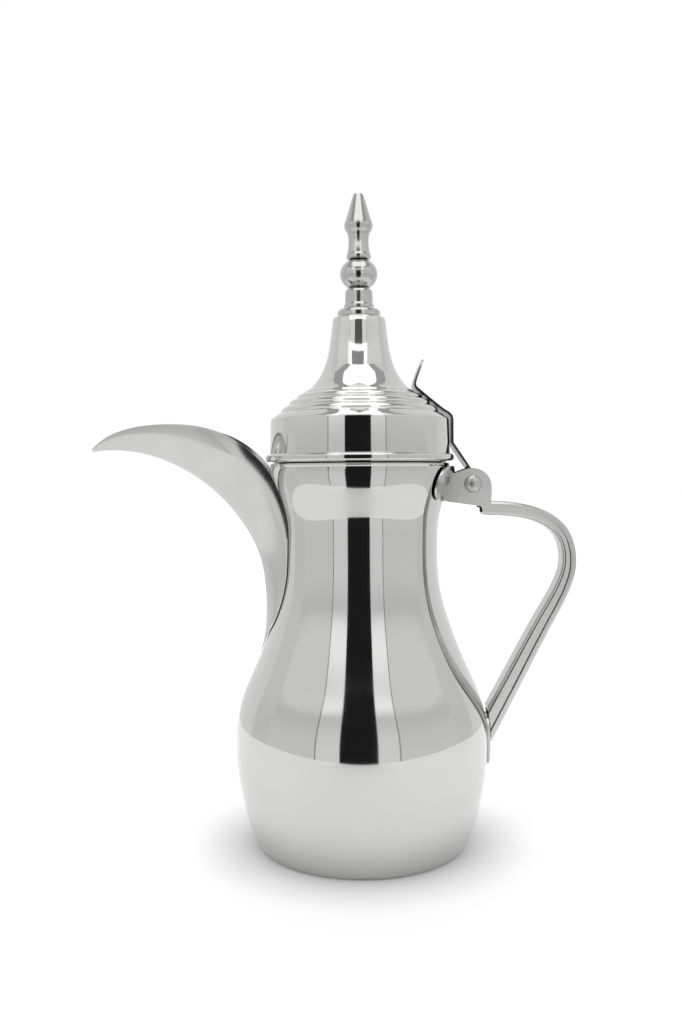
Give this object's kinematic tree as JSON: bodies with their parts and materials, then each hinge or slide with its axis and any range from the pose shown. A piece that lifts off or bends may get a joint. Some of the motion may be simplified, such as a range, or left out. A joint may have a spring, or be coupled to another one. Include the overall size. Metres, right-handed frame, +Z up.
{
  "type": "dallah coffee pot",
  "caption": "Bulbous spun-steel coffee pot with a long neck, crescent spout, hinged domed lid with a turned finial, thumb-lift strap and hollow handle.",
  "frame": {"origin": "centre of the flat base, on the pot's axis", "axes": "+Z up along the pot's axis, -X towards the spout, +X towards the handle, Y along the lid's hinge rivet"},
  "size_m": [0.2162, 0.112, 0.2894],
  "materials": {
    "polished_steel": "mirror-polished stainless steel",
    "turned_steel": "lathe-turned and lightly polished stainless steel",
    "darkened_steel": "spring steel strip, darkened and smooth",
    "satin_steel": "satin pressed stainless steel",
    "plain_steel": "plain machined stainless steel"
  },
  "bodies": {
    "pot": {"body_shell": "polished_steel", "base_plate": "polished_steel", "spout_half_near": "satin_steel", "spout_half_far": "satin_steel", "hinge_bracket": "satin_steel", "hinge_rivet": "plain_steel", "handle_outer_shell": "satin_steel", "handle_inner_shell": "satin_steel", "handle_foot": "satin_steel"},
    "lid": {"lid_dome": "polished_steel", "lid_seat_ring": "polished_steel", "lid_strap": "darkened_steel", "finial_washer": "turned_steel", "finial_collar": "turned_steel", "finial_ball": "turned_steel", "finial_spike": "turned_steel", "finial_stud": "plain_steel", "finial_inner_washer": "plain_steel", "finial_nut": "plain_steel"}
  },
  "joints": [
    {"name": "lid_hinge", "type": "hinge", "parent": "pot", "child": "lid", "pos_m": [0.0497, 0, 0.1587], "axis": [0, 1, 0], "range_deg": [0, 110]}
  ]
}
